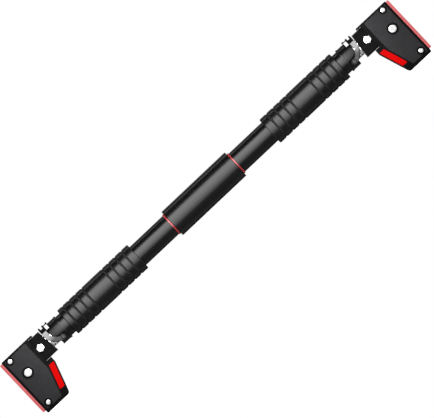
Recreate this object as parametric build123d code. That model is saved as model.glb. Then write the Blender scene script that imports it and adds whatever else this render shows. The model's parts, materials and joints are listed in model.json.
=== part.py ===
from build123d import *
import math
import os

# A doorway pull up bar: two steel tubes joined inside a centre sleeve, foam grips, and at each end a
# threaded rod that the bar is turned on, which carries a wall bracket with a rubber pad.
# Frame: X along the bar, Z up, front towards -Y. The origin is under the middle of the bar, on the
# plane of the brackets' lower faces. Everything is drawn for the +X end and mirrored for the -X end.
# Millimetres.

# Overall
OVERALL_LENGTH = 760.0      # over the two wall pads, screws wound in
BRACKET_DROP = 75.2         # bar axis down to the brackets' lower faces
BRACKET_RISE = 22.4         # bar axis up to the brackets' upper faces

# Bar
TUBE_OD = 35.0
TUBE_WALL = 1.5
SLEEVE_LENGTH = 124.2
SLEEVE_WALL = 5.2
RIM_BEVEL = 0.8             # on the sleeve and the grips
RING_WIDTH = 2.4
RING_BEVEL = 0.3
RING_WALL = 1.25
GRIP_LENGTH = 137.3
GRIP_WALL = 4.95
GRIP_TO_COLLAR = 8.3        # bare tube between grip and collar
GROOVE_COUNT = 4            # in each of a grip's two groups
GROOVE_PITCH = 12.5
GROOVE_WIDTH = 4.2          # at the surface
GROOVE_FLOOR = 0.6
GROOVE_DEPTH = 1.1
GROOVE_INSET_INNER = 12.9   # grip end to the middle of the nearest groove
GROOVE_INSET_OUTER = 9.5
COUPLER_LENGTH = 120.0
COUPLER_WALL = 2.0
RIVET_R = 2.5
RIVET_INSET = 30.0          # from the middle of the bar

# Collar, nut and guide washer at the tube's end
COLLAR_LENGTH = 15.9
COLLAR_WALL = 1.5           # over the tube's outside
COLLAR_BEVEL = 0.6
CHEEK_REACH = 5.6           # cheeks beside the screw, past the collar's face
CHEEK_LOW = 9.0             # below the axis
CHEEK_HIGH = 12.6           # above it
COLLAR_LIP = 0.6
COLLAR_LIP_WIDTH = 3.0
SPIGOT_LENGTH = 26.0
NUT_LENGTH = 24.0
NUT_WALL = 2.2
GRUB_R = 2.5
WASHER_THICKNESS = 4.0

# Threaded rod
ROD_BORE_R = 9.5
ROD_FLAT = 1.5              # depth of the two flats milled along the rod
THREAD_PITCH = 6.0
THREAD_DEPTH = 1.4
THREAD_CREST = 2.0
THREAD_FLANK = 1.0
TRAVEL_TURNS = 16
STOP_THICKNESS = 6.0
STOP_SPIGOT = 12.0
ROD_END_SOLID = 21.4        # past the hollow, at the neck
ROD_END_SHORT = 2.5         # rod ends this far inside the neck block

# Neck block
COLLAR_TO_NECK = 12.6       # open screw between them at rest, along the lower side
NECK_SLANT = 4.0            # how much further out the neck's upper edge starts
NECK_LENGTH = 14.6          # lower side, up to the bracket
NECK_WALL = 5.3             # round the rod
NECK_EDGE = 2.5
NECK_SEAT = 11.3            # how far the block stands into the bracket
NECK_WINDOW = 8.1           # how much of that shows past the bracket's inner edge
NECK_GROOVE_OFFSET = 4.6    # from the inner end
NECK_GROOVE_WIDTH = 1.6
NECK_GROOVE_DEPTH = 0.7
TONGUE_LENGTH = 38.0
TONGUE_HALF_DEPTH = 8.0
TONGUE_TOP = 6.0            # above the bar axis

# Bracket
BRACKET_WIDTH = 57.4
BRACKET_DEPTH = 46.0
FOOT_WIDTH = 41.6           # along the lower face
SLANT_START = 28.0          # below the axis
CORNER_R = 1.5              # upper corners
KNEE_R = 3.0
FOOT_INNER_R = 5.0
FOOT_OUTER_R = 2.0
EDGE_CHAMFER = 0.8
PAD_THICKNESS = 4.3
PAD_TOP_INSET = 1.5
PAD_BOTTOM_INSET = 5.2
PAD_SIDE_INSET = 0.6
PAD_CORNER_R = 2.0
PAD_GROOVES = 5
PAD_GROOVE_WIDTH = 2.0
PAD_GROOVE_DEPTH = 1.2
PAD_GROOVE_STOP = 2.6       # plain border beside the grooves
PLATE_THICKNESS = 1.6
PLATE_RECESS = 0.6          # rim stands over the plate
PLATE_INSET = 12.1          # from the bracket's slanted edge
PLATE_NECK_INSET = 13.4     # from its inner edge, beside the neck
PLATE_KNEE_DROP = 2.0       # plate's knee below the bracket's
PLATE_CORNER_R = 1.5
PLATE_GAP = 0.2             # round the plate in its recess
RIM_TOP = 2.5
RIM_OUTER = 3.3
RIM_BOTTOM = 5.0
SHELL_WALL = 3.5            # ledge under the plate's edge
INSERT_LIP = 1.3            # black wall outside the red insert
INSERT_RIB = 1.7            # black rib between insert and plate
INSERT_TOP = 26.0           # below the axis
INSERT_FOOT = 12.8          # above the bracket's lower face
INSERT_RECESS = 0.4
INSERT_CORNER_R = 1.2

# Fasteners
NECK_BOLT_AF = 10.2
NECK_BOLT_HEAD = 3.6
NECK_WASHER_R = 6.0
NECK_BOLT_R = 3.0
NECK_BOLT_OFFSET = 2.0      # outward of the bracket's inner edge
CENTRE_BOLT_HEAD_R = 5.8
CENTRE_BOLT_HEAD = 2.4
CENTRE_BOLT_R = 3.0
CENTRE_BOLT_DROP = 13.5
CENTRE_BOLT_INSET = 18.6    # from the bracket's outer face
CENTRE_WASHER_R = 8.55
CORNER_HEAD_R = 3.5
CORNER_HEAD = 1.8
CORNER_SCREW_R = 2.0
CORNER_INSET = 10.7
CORNER_FROM_TOP = 6.9       # below the bracket's upper face
CORNER_FROM_FOOT = 11.3     # above its lower face
CORNER_WASHER_R = 6.05
SCREW_WASHER = 0.6
BOSS_WALL = 3.4
SOCKET_DEPTH = 1.0
SOCKET_SHARE = 0.8          # of the head's radius, across flats
HEAD_ROUNDING = 0.6         # of the head's height
BLIND_DEPTH = 0.5           # of a nut's height
NECK_BOLT_DIMPLE_R = 1.8
NECK_BOLT_DIMPLE = 0.5

# Bail: a strap that straddles the screw, with a ribbed thumb grip
BAIL_WIDTH = 7.8
BAIL_THICKNESS = 3.2
BAIL_BEND_R = 12.0
BAIL_BEND_SHARE = 0.98      # most that bends may take of a straight stretch
BAIL_EYE_R = 4.7
BAIL_PIVOT_INSET = 5.8      # from the collar's outer face, inward
BAIL_PIVOT_DROP = 10.3
BAIL_TO_NECK = 2.2          # strap edge to the neck's upper edge
BAIL_BEND_DROP = 1.1        # upper bend below the axis
BAIL_FOOT = 4.2             # straight stretch outward of the pivot
BAIL_PIN_R = 2.5
BAIL_PIN_FLOOR = 0.6        # collar wall left behind the pin's hole
THUMB_CHEEK = 1.0
THUMB_TOP = 3.8             # above the strap's underside
THUMB_SKIRT = 1.8           # cheeks reach this far below it
THUMB_BACK = 1.1            # main block inward of the strap
THUMB_ARM = 1.3             # thickness of the arm over the collar
RIB_COUNT = 3
RIB_PITCH = 6.6
RIB_BASE = 2.4
RIB_TIP = 1.4
RIB_INSET = 1.3             # outer rib from the block's outer end
RIB_HEIGHT = 3.8

# Clearances
FIT = 0.05                  # radial, pressed and running fits alike
WASHER_GAP = 0.3
ROD_TO_COLLAR = 0.2
STRAP_GAP = 0.3
STRAP_OVER_THREAD = 0.6
STOP_MARGIN = 0.6
STOP_CLEAR = 0.3            # between the stop's flange and the tube
SEAT_GAP = 0.3
ARM_OVER_COLLAR = 0.4

# Worked out: radii
tube_r = TUBE_OD / 2
tube_bore_r = tube_r - TUBE_WALL
plug_r = tube_bore_r - FIT
rod_r = tube_bore_r - NUT_WALL
collar_r = tube_r + COLLAR_WALL
neck_half = rod_r + NECK_WALL
flat_half = rod_r - ROD_FLAT

# Worked out: stations along X
pad_face = OVERALL_LENGTH / 2
bracket_outer = pad_face - PAD_THICKNESS
bracket_inner = bracket_outer - BRACKET_WIDTH
neck_inner = bracket_inner - NECK_LENGTH
neck_outer = bracket_inner + NECK_SEAT
collar_outer = neck_inner - COLLAR_TO_NECK
tube_end = collar_outer - COLLAR_LENGTH
grip_outer = tube_end - GRIP_TO_COLLAR
spigot_end = tube_end - SPIGOT_LENGTH
washer_outer = spigot_end - WASHER_GAP
nut_outer = washer_outer - WASHER_THICKNESS - WASHER_GAP
nut_inner = nut_outer - NUT_LENGTH
travel = TRAVEL_TURNS * THREAD_PITCH
rod_inner = nut_inner - travel - STOP_MARGIN
rod_outer = neck_outer - ROD_END_SHORT

# Worked out: heights and depths
axis_z = BRACKET_DROP
bracket_top = axis_z + BRACKET_RISE
bracket_front = BRACKET_DEPTH / 2
plate_face = bracket_front - PLATE_RECESS
plate_seat = plate_face - PLATE_THICKNESS
screw_seat = plate_face + SCREW_WASHER
neck_seat = neck_half + SCREW_WASHER
strap_under = axis_z + rod_r + STRAP_OVER_THREAD
strap_inside = collar_r + STRAP_GAP
strap_outside = strap_inside + BAIL_THICKNESS
centre_bolt_at = (bracket_outer - CENTRE_BOLT_INSET, axis_z - CENTRE_BOLT_DROP)
corner_x = bracket_outer - CORNER_INSET
corner_screws_at = [(corner_x, bracket_top - CORNER_FROM_TOP), (corner_x, CORNER_FROM_FOOT)]
neck_bolt_at = (bracket_inner + NECK_BOLT_OFFSET, axis_z)


# ---- Helpers

def slab(sketch, y_from, y_to):
    """Extrude a sketch drawn in X and Z between two depths."""
    return extrude(Plane.XZ.offset(-y_to) * sketch, y_to - y_from)


def both_sides(shape):
    """A front piece with its twin at the back."""
    return [shape, mirror(shape, about=Plane.XZ)]


def along_bar(x_from, x_to, radius):
    """A cylinder on the bar's axis."""
    disc = Plane(origin=(x_from, 0, axis_z), z_dir=(1, 0, 0)) * Circle(radius)
    return extrude(disc, x_to - x_from)


def ring(x_from, x_to, outer, inner):
    """A ring or tube on the bar's axis."""
    return along_bar(x_from, x_to, outer) - along_bar(x_from - 1, x_to + 1, inner)


def across(point, radius, y_from, y_to):
    """A cylinder along Y at a point given in X and Z."""
    return slab(Pos(*point) * Circle(radius), y_from, y_to)


def polygon(points):
    """A filled outline given as points in X and Z."""
    return make_face(Polyline(*points, close=True))


def rounded(face, point, radius):
    """The face with its corner nearest the point rounded."""
    corner = face.vertices().sort_by_distance(Vector(*point, 0))[0]
    return fillet(corner, radius)


def block(x_from, x_to, y_from, y_to, z_from, z_to):
    """A box between the given planes."""
    middle = ((x_from + x_to) / 2, (y_from + y_to) / 2, (z_from + z_to) / 2)
    return Pos(*middle) * Box(x_to - x_from, y_to - y_from, z_to - z_from)


def bevelled_ring(x_from, x_to, outer, inner, bevel):
    """A ring with both outer rims bevelled."""
    shape = ring(x_from, x_to, outer, inner)
    rims = shape.edges().filter_by(GeomType.CIRCLE).filter_by(lambda e: e.radius > (outer + inner) / 2)
    return chamfer(rims, bevel)


# ---- Bar

def tube():
    """One tube, from the middle of the bar to the collar, with its rivet and grub screw holes."""
    shape = ring(0, tube_end, tube_r, tube_bore_r)
    for x, radius in [(RIVET_INSET, RIVET_R), ((nut_inner + nut_outer) / 2, GRUB_R)]:
        shape -= across((x, axis_z), radius + FIT, -tube_r - 1, tube_r + 1)
    return shape


def coupler():
    """The inner tube that joins the two tubes."""
    shape = ring(-COUPLER_LENGTH / 2, COUPLER_LENGTH / 2, plug_r, plug_r - COUPLER_WALL)
    for x in (-RIVET_INSET, RIVET_INSET):
        shape -= across((x, axis_z), RIVET_R + FIT, -tube_r - 1, tube_r + 1)
    return shape


def coupler_rivets():
    """Short rivets through tube and coupler, flush under the centre sleeve."""
    inside = plug_r - COUPLER_WALL
    flush = along_bar(-COUPLER_LENGTH / 2, COUPLER_LENGTH / 2, tube_r)
    pins = []
    for x in (-RIVET_INSET, RIVET_INSET):
        pins += both_sides(across((x, axis_z), RIVET_R, -tube_r - 1, -inside) & flush)
    return pins


def centre_sleeve():
    """The moulded sleeve over the joint of the two tubes."""
    half = SLEEVE_LENGTH / 2
    return bevelled_ring(-half, half, tube_r + SLEEVE_WALL, tube_r + FIT, RIM_BEVEL)


def trim_ring():
    """The thin coloured ring at the sleeve's end."""
    start = SLEEVE_LENGTH / 2
    return bevelled_ring(start, start + RING_WIDTH, tube_r + RING_WALL, tube_r + FIT, RING_BEVEL)


def groove(x, radius):
    """The cutter of one sloped groove round the bar."""
    top, floor = GROOVE_WIDTH / 2, GROOVE_FLOOR / 2
    deep = radius - GROOVE_DEPTH
    edge = [(x - top, radius), (x - top, radius + 1), (x + top, radius + 1), (x + top, radius),
            (x + floor, deep), (x - floor, deep)]
    profile = Plane(origin=(0, 0, axis_z), x_dir=(1, 0, 0), z_dir=(0, -1, 0)) * polygon(edge)
    return revolve(profile, axis=Axis((0, 0, axis_z), (1, 0, 0)))


def grip():
    """A foam grip with two groups of grooves."""
    outer = tube_r + GRIP_WALL
    inner_end = grip_outer - GRIP_LENGTH
    shape = bevelled_ring(inner_end, grip_outer, outer, tube_r + FIT, RIM_BEVEL)
    for step in range(GROOVE_COUNT):
        along = step * GROOVE_PITCH
        for x in (inner_end + GROOVE_INSET_INNER + along, grip_outer - GROOVE_INSET_OUTER - along):
            shape -= groove(x, outer)
    return shape


def bail_pivot():
    """Where the bail turns, in X and Z."""
    return (collar_outer - BAIL_PIVOT_INSET, axis_z - BAIL_PIVOT_DROP)


def collar():
    """The collar on the tube's end: spigot in the tube, cheeks beside the screw, holes for the pins."""
    shape = bevelled_ring(tube_end, collar_outer, collar_r, rod_r, COLLAR_BEVEL)
    shape += ring(tube_end, tube_end + COLLAR_LIP_WIDTH, collar_r + COLLAR_LIP, rod_r)
    shape += ring(spigot_end, tube_end + 1, plug_r, rod_r)
    cheeks = ring(collar_outer - 1, collar_outer + CHEEK_REACH, collar_r, rod_r)
    shape += cheeks & block(collar_outer - 1, collar_outer + CHEEK_REACH, -collar_r, collar_r,
                            axis_z - CHEEK_LOW, axis_z + CHEEK_HIGH)
    shape -= along_bar(spigot_end - 1, collar_outer + CHEEK_REACH + 1, rod_r + ROD_TO_COLLAR)
    floor = rod_r + BAIL_PIN_FLOOR
    for hole in both_sides(across(bail_pivot(), BAIL_PIN_R + FIT, -collar_r - 2, -floor)):
        shape -= hole
    return shape


def bail_pins():
    """The two pins that the bail turns on, pressed into the collar and flush with the strap."""
    return both_sides(across(bail_pivot(), BAIL_PIN_R, -strap_outside, -rod_r - BAIL_PIN_FLOOR - FIT))


def rod_nut():
    """The nut in the tube. Its bore is plain, at the crest of the rod's thread."""
    shape = ring(nut_inner, nut_outer, plug_r, rod_r + FIT)
    middle = ((nut_inner + nut_outer) / 2, axis_z)
    return shape - across(middle, GRUB_R + FIT, -tube_r, tube_r)


def nut_screws():
    """Grub screws through the tube into the nut, flush under the grip."""
    flush = along_bar(nut_inner, nut_outer, tube_r)
    middle = ((nut_inner + nut_outer) / 2, axis_z)
    return both_sides(across(middle, GRUB_R, -tube_r - 1, -rod_r - ROD_TO_COLLAR) & flush)


# ---- Screw

def double_d(x_from, x_to, grow):
    """The rod's outline, a round with two flats, grown by a clearance."""
    keep = flat_half + grow
    height = block(x_from, x_to, -rod_r - 1, rod_r + 1, axis_z - keep, axis_z + keep)
    return along_bar(x_from, x_to, rod_r + grow) & height


def guide_washer():
    """The washer that turns with the rod inside the tube and slides along its flats."""
    body = along_bar(washer_outer - WASHER_THICKNESS, washer_outer, plug_r)
    return body - double_d(washer_outer - WASHER_THICKNESS - 1, washer_outer + 1, FIT)


def thread_outline():
    """Points of the rod's outer edge, from its inner end to the neck, one ridge to a pitch."""
    root = THREAD_PITCH - THREAD_CREST - 2 * THREAD_FLANK
    points = [(rod_inner, rod_r)]
    x = rod_inner + THREAD_CREST
    while x + THREAD_PITCH < neck_inner + THREAD_PITCH:
        low = rod_r - THREAD_DEPTH
        points += [(x, rod_r), (x + THREAD_FLANK, low), (x + THREAD_FLANK + root, low)]
        points += [(x + THREAD_PITCH - THREAD_CREST, rod_r)]
        x += THREAD_PITCH
    return points + [(rod_outer, rod_r)]


def screw_rod():
    """The hollow threaded rod with its two flats, and the cross hole for the neck bolt."""
    edge = [(rod_inner, 0)] + thread_outline() + [(rod_outer, 0)]
    profile = Plane(origin=(0, 0, axis_z), x_dir=(1, 0, 0), z_dir=(0, -1, 0)) * polygon(edge)
    shape = revolve(profile, axis=Axis((0, 0, axis_z), (1, 0, 0)))
    reach = rod_r + 1
    shape &= block(rod_inner, rod_outer, -reach, reach, axis_z - flat_half, axis_z + flat_half)
    shape -= along_bar(rod_inner - 1, rod_outer - ROD_END_SOLID, ROD_BORE_R)
    return shape - across(neck_bolt_at, NECK_BOLT_R + FIT, -reach, reach)


def rod_stop():
    """The plug in the rod's inner end, whose flange stops the rod at the nut."""
    flange = along_bar(rod_inner - STOP_THICKNESS, rod_inner, plug_r - STOP_CLEAR)
    return flange + along_bar(rod_inner - 1, rod_inner + STOP_SPIGOT, ROD_BORE_R - FIT)


# ---- Neck and bracket

def neck():
    """The block that carries the rod, with the tongue that stands in the bracket."""
    low, high = axis_z - neck_half, axis_z + neck_half
    side = [(neck_inner, low), (neck_outer, low), (neck_outer, high), (neck_inner + NECK_SLANT, high)]
    shape = slab(polygon(side), -neck_half, neck_half)
    shape = fillet(shape.edges().filter_by(Axis.X), NECK_EDGE)
    near, far = neck_inner + NECK_GROOVE_OFFSET, neck_inner + NECK_GROOVE_OFFSET + NECK_GROOVE_WIDTH
    cut = [(near, low - 1), (far, low - 1), (far + NECK_SLANT, high + 1), (near + NECK_SLANT, high + 1)]
    deep = neck_half - NECK_GROOVE_DEPTH
    for groove in both_sides(slab(polygon(cut), -neck_half - 1, -deep)):
        shape -= groove
    tongue = block(neck_outer - 1, neck_outer + TONGUE_LENGTH, -TONGUE_HALF_DEPTH, TONGUE_HALF_DEPTH,
                   low, axis_z + TONGUE_TOP)
    shape += tongue
    shape -= along_bar(neck_inner - 1, rod_outer + FIT, rod_r + FIT)
    shape -= across(neck_bolt_at, NECK_BOLT_R + FIT, -neck_half - 1, neck_half + 1)
    return shape - across(centre_bolt_at, CENTRE_BOLT_R + FIT, -neck_half, neck_half)


def slanted_edge(z):
    """X of the bracket's slanted inner edge, and of its continuation, at a height."""
    run = BRACKET_WIDTH - FOOT_WIDTH
    return bracket_inner + run * (axis_z - SLANT_START - z) / (BRACKET_DROP - SLANT_START)


def bracket_outline():
    """The bracket seen from the front."""
    knee = axis_z - SLANT_START
    foot = bracket_outer - FOOT_WIDTH
    face = polygon([(bracket_inner, bracket_top), (bracket_outer, bracket_top), (bracket_outer, 0),
                    (foot, 0), (bracket_inner, knee)])
    face = rounded(face, (foot, 0), FOOT_INNER_R)
    face = rounded(face, (bracket_inner, knee), KNEE_R)
    face = rounded(face, (bracket_outer, 0), FOOT_OUTER_R)
    face = rounded(face, (bracket_inner, bracket_top), CORNER_R)
    return rounded(face, (bracket_outer, bracket_top), CORNER_R)


def plate_outline(inset):
    """The face plate seen from the front, made smaller all round by an inset."""
    top = bracket_top - RIM_TOP - inset
    low = RIM_BOTTOM + inset
    outer = bracket_outer - RIM_OUTER - inset
    inner = bracket_inner + PLATE_NECK_INSET + inset
    knee = axis_z - SLANT_START - PLATE_KNEE_DROP
    foot = slanted_edge(low) + PLATE_INSET + inset
    face = polygon([(inner, top), (outer, top), (outer, low), (foot, low), (inner, knee)])
    for corner in [(inner, top), (outer, top), (outer, low), (foot, low)]:
        face = rounded(face, corner, PLATE_CORNER_R)
    return face


def insert_outline():
    """The red insert seen from the front."""
    high, low = axis_z - INSERT_TOP, INSERT_FOOT
    wide = PLATE_INSET - INSERT_RIB
    points = [(slanted_edge(high) + INSERT_LIP, high), (slanted_edge(high) + wide, high),
              (slanted_edge(low) + wide, low), (slanted_edge(low) + INSERT_LIP, low)]
    face = polygon(points)
    for corner in points:
        face = rounded(face, corner, INSERT_CORNER_R)
    return face


def boss(point, radius):
    """A screw boss from front seat to back seat."""
    return across(point, radius, -plate_seat, plate_seat)


def bracket_housing():
    """The moulded bracket: a deep frame, open behind its two face plates."""
    shape = slab(bracket_outline(), -bracket_front, bracket_front)
    faces = shape.faces().filter_by(Axis.Y)
    shape = chamfer(faces.edges(), EDGE_CHAMFER)
    shape -= slab(plate_outline(-PLATE_GAP), -bracket_front - 1, -plate_seat)
    shape -= slab(plate_outline(-PLATE_GAP), plate_seat, bracket_front + 1)
    shape -= slab(plate_outline(SHELL_WALL), -bracket_front, bracket_front)
    for point in corner_screws_at:
        wall = block(point[0], bracket_outer - 1, -plate_seat, plate_seat, point[1] - BOSS_WALL,
                     point[1] + BOSS_WALL)
        shape += boss(point, CORNER_SCREW_R + BOSS_WALL) + wall
        shape -= across(point, CORNER_SCREW_R + FIT, -bracket_front - 1, bracket_front + 1)
        for relief in both_sides(across(point, CORNER_WASHER_R + FIT, -bracket_front - 1, -plate_face)):
            shape -= relief
    x, z = centre_bolt_at
    post_r = CENTRE_BOLT_R + BOSS_WALL
    for sign in (-1, 1):
        near, far = sorted((sign * (TONGUE_HALF_DEPTH + SEAT_GAP), sign * plate_seat))
        shape += across(centre_bolt_at, post_r, near, far)
        shape += block(x, bracket_outer - 1, near, far, z - BOSS_WALL, z + BOSS_WALL)
    shape -= across(centre_bolt_at, CENTRE_BOLT_R + FIT, -bracket_front - 1, bracket_front + 1)
    open_half = neck_half + SEAT_GAP
    low, high = axis_z - open_half, axis_z + open_half
    shape -= block(bracket_inner - 1, neck_outer + SEAT_GAP, -open_half, open_half, low, high)
    shape -= block(bracket_inner - 1, bracket_inner + NECK_WINDOW, -bracket_front - 1,
                   bracket_front + 1, low, high)
    slot_half = TONGUE_HALF_DEPTH + SEAT_GAP
    tongue_end = neck_outer + TONGUE_LENGTH + SEAT_GAP
    shape -= block(neck_outer - 1, tongue_end, -slot_half, slot_half,
                   axis_z - open_half, axis_z + TONGUE_TOP + SEAT_GAP)
    shape -= slab(insert_outline(), -bracket_front - 1, bracket_front + 1)
    return shape


def face_plate():
    """The front face plate, with its screw holes."""
    shape = slab(plate_outline(0), -plate_face, -plate_seat)
    shape -= across(centre_bolt_at, CENTRE_BOLT_R + FIT, -plate_face - 1, 0)
    for point in corner_screws_at:
        shape -= across(point, CORNER_SCREW_R + FIT, -plate_face - 1, 0)
    return shape


def red_insert():
    """The coloured insert through the bracket's slanted edge."""
    half = bracket_front - INSERT_RECESS
    return slab(insert_outline(), -half, half)


def wall_pad():
    """The rubber pad that presses on the wall, grooved across."""
    half = bracket_front - PAD_SIDE_INSET
    groove_half = half - PAD_GROOVE_STOP
    low, high = PAD_BOTTOM_INSET, bracket_top - PAD_TOP_INSET
    shape = block(bracket_outer, pad_face, -half, half, low, high)
    shape = fillet(shape.edges().filter_by(Axis.X), PAD_CORNER_R)
    pitch = (high - low) / (PAD_GROOVES + 1)
    for step in range(1, PAD_GROOVES + 1):
        z = low + step * pitch
        shape -= block(pad_face - PAD_GROOVE_DEPTH, pad_face + 1, -groove_half, groove_half,
                       z - PAD_GROOVE_WIDTH / 2, z + PAD_GROOVE_WIDTH / 2)
    return shape


# ---- Fasteners

def hexagon(point, across_flats):
    """A hexagon with a corner up, in X and Z."""
    return Pos(*point) * RegularPolygon(across_flats / 2, 6, major_radius=False, rotation=30)


def button(point, radius, height, seat):
    """A low button head on a front seat, with a hexagon socket."""
    head = across(point, radius, -seat - height, -seat)
    rim = head.edges().sort_by(Axis.Y)[0]
    head = fillet(rim, height * HEAD_ROUNDING)
    socket = hexagon(point, radius * SOCKET_SHARE)
    return head - slab(socket, -seat - height - 1, -seat - height + SOCKET_DEPTH)


def button_bolt(point, radius, head_r, height):
    """A bolt with its button head in front and its end in the nut behind."""
    shank = across(point, radius, -screw_seat - FIT, screw_seat + height * BLIND_DEPTH)
    return button(point, head_r, height, screw_seat) + shank


def button_nut(point, radius, head_r, height):
    """The blind nut behind, shaped like the bolt's head."""
    nut = mirror(button(point, head_r, height, screw_seat), about=Plane.XZ)
    return nut - across(point, radius + FIT, screw_seat - 1, screw_seat + height * BLIND_DEPTH + FIT)


def screw_washers():
    """Thin black washers under every head and nut."""
    rows = [(centre_bolt_at, CENTRE_WASHER_R, CENTRE_BOLT_R, plate_face)]
    rows += [(point, CORNER_WASHER_R, CORNER_SCREW_R, plate_face) for point in corner_screws_at]
    rows += [(neck_bolt_at, NECK_WASHER_R, NECK_BOLT_R, neck_half)]
    washers = []
    for point, outer, inner, seat in rows:
        disc = across(point, outer, -seat - SCREW_WASHER, -seat)
        washers += both_sides(disc - across(point, inner + FIT, -seat - SCREW_WASHER - 1, 0))
    return washers


def neck_bolt():
    """The hexagon bolt through neck and rod."""
    top = -neck_seat - NECK_BOLT_HEAD
    head = slab(hexagon(neck_bolt_at, NECK_BOLT_AF), top, -neck_seat)
    head -= across(neck_bolt_at, NECK_BOLT_DIMPLE_R, top - 1, top + NECK_BOLT_DIMPLE)
    return head + across(neck_bolt_at, NECK_BOLT_R, -neck_seat - FIT, neck_seat + NECK_BOLT_HEAD)


def neck_nut():
    """Its nut behind the neck."""
    nut = slab(hexagon(neck_bolt_at, NECK_BOLT_AF), neck_seat, neck_seat + NECK_BOLT_HEAD)
    return nut - across(neck_bolt_at, NECK_BOLT_R + FIT, 0, neck_seat + NECK_BOLT_HEAD + 1)


# ---- Bail

def strap_edges():
    """X of the strap's inward and outward edges above its bends."""
    outward = neck_inner + NECK_SLANT - BAIL_TO_NECK
    return outward - BAIL_WIDTH, outward


def bend_radius(route):
    """The radius of a route's bends, less where a stretch is too short for them."""
    ways = [Vector(*end) - Vector(*start) for start, end in zip(route, route[1:])]
    taken = [math.tan(math.radians(a.get_angle(b)) / 2) for a, b in zip(ways, ways[1:])]
    taken = [0, *taken, 0]
    rooms = [BAIL_BEND_SHARE * way.length / (before + after)
             for way, before, after in zip(ways, taken, taken[1:])]
    return min(BAIL_BEND_R, *rooms)


def bail_leg():
    """One leg of the bail seen from the front, from the pivot's eye to the top."""
    pivot = bail_pivot()
    inward, outward = strap_edges()
    column = (inward + outward) / 2
    bend = (pivot[0] + BAIL_FOOT, pivot[1])
    top = strap_under + BAIL_THICKNESS
    points = (pivot, bend, (column, axis_z - BAIL_BEND_DROP), (column, top))
    route = FilletPolyline(*points, radius=bend_radius(points))
    eye = Pos(*pivot) * Circle(BAIL_EYE_R)
    return trace(route, BAIL_WIDTH) + eye - Pos(*pivot) * Circle(BAIL_PIN_R + FIT)


def bail_strap():
    """The bright strap: two legs and the bridge over the screw."""
    inward, outward = strap_edges()
    legs = both_sides(slab(bail_leg(), -strap_outside, -strap_inside))
    bridge = block(inward, outward, -strap_outside, strap_outside,
                   strap_under, strap_under + BAIL_THICKNESS)
    return bridge + legs[0] + legs[1]


def thumb_rib(x, base_z, half_depth):
    """One tapered rib across the thumb grip."""
    tip_z = strap_under + THUMB_TOP + RIB_HEIGHT
    side = [(x - RIB_BASE / 2, base_z), (x + RIB_BASE / 2, base_z),
            (x + RIB_TIP / 2, tip_z), (x - RIB_TIP / 2, tip_z)]
    return slab(polygon(side), -half_depth, half_depth)


def bail_thumb():
    """The moulded thumb grip round the strap's bridge, with an arm and ribs over the collar."""
    inward, outward = strap_edges()
    half = strap_outside + THUMB_CHEEK
    top = strap_under + THUMB_TOP
    shape = block(inward - THUMB_BACK, outward, -half, half, strap_under - THUMB_SKIRT, top)
    shape -= block(inward - THUMB_BACK - 1, outward + 1, -strap_inside, strap_inside,
                   strap_under - THUMB_SKIRT - 1, strap_under)
    ribs = [outward - RIB_INSET - step * RIB_PITCH for step in range(RIB_COUNT)]
    arm_low = axis_z + collar_r + ARM_OVER_COLLAR
    arm_reach = (ribs[-1] - RIB_BASE / 2, ribs[-2] + RIB_BASE / 2)
    shape += block(*arm_reach, -half, half, arm_low, arm_low + THUMB_ARM)
    for x in ribs[:-1]:
        shape += thumb_rib(x, top - FIT, half)
    shape += thumb_rib(ribs[-1], arm_low, half)
    return shape - bail_strap()


# ---- Write one STEP per sub-part

CENTRE_PIECES = {
    "centre_coupler": coupler,
    "coupler_rivets": coupler_rivets,
    "centre_sleeve": centre_sleeve,
}
END_PIECES = {
    "tube": tube,
    "trim_ring": trim_ring,
    "grip": grip,
    "collar": collar,
    "bail_pins": bail_pins,
    "rod_nut": rod_nut,
    "nut_screws": nut_screws,
    "guide_washer": guide_washer,
    "screw_rod": screw_rod,
    "rod_stop": rod_stop,
    "neck": neck,
    "neck_bolt": neck_bolt,
    "neck_nut": neck_nut,
    "bracket_housing": bracket_housing,
    "front_plate": face_plate,
    "back_plate": lambda: mirror(face_plate(), about=Plane.XZ),
    "red_insert": red_insert,
    "wall_pad": wall_pad,
    "centre_bolt": lambda: button_bolt(centre_bolt_at, CENTRE_BOLT_R, CENTRE_BOLT_HEAD_R, CENTRE_BOLT_HEAD),
    "centre_nut": lambda: button_nut(centre_bolt_at, CENTRE_BOLT_R, CENTRE_BOLT_HEAD_R, CENTRE_BOLT_HEAD),
    "corner_screws": lambda: [button_bolt(at, CORNER_SCREW_R, CORNER_HEAD_R, CORNER_HEAD)
                              for at in corner_screws_at],
    "corner_nuts": lambda: [button_nut(at, CORNER_SCREW_R, CORNER_HEAD_R, CORNER_HEAD)
                            for at in corner_screws_at],
    "screw_washers": screw_washers,
    "bail_strap": bail_strap,
    "bail_thumb": bail_thumb,
}


def write(node, shape):
    """Save a sub-part, which may be a list of like pieces."""
    pieces = shape if isinstance(shape, list) else [shape]
    solids = [solid for piece in pieces for solid in piece.solids()]
    export_step(solids[0] if len(solids) == 1 else Compound(children=solids), f"parts/{node}.step")


os.makedirs("parts", exist_ok=True)
for node, make in CENTRE_PIECES.items():
    write(node, make())
for node, make in END_PIECES.items():
    made = make()
    pieces = made if isinstance(made, list) else [made]
    write(f"{node}_right", pieces)
    write(f"{node}_left", [mirror(piece, about=Plane.YZ) for piece in pieces])
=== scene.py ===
import json
import math
from types import SimpleNamespace

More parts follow.
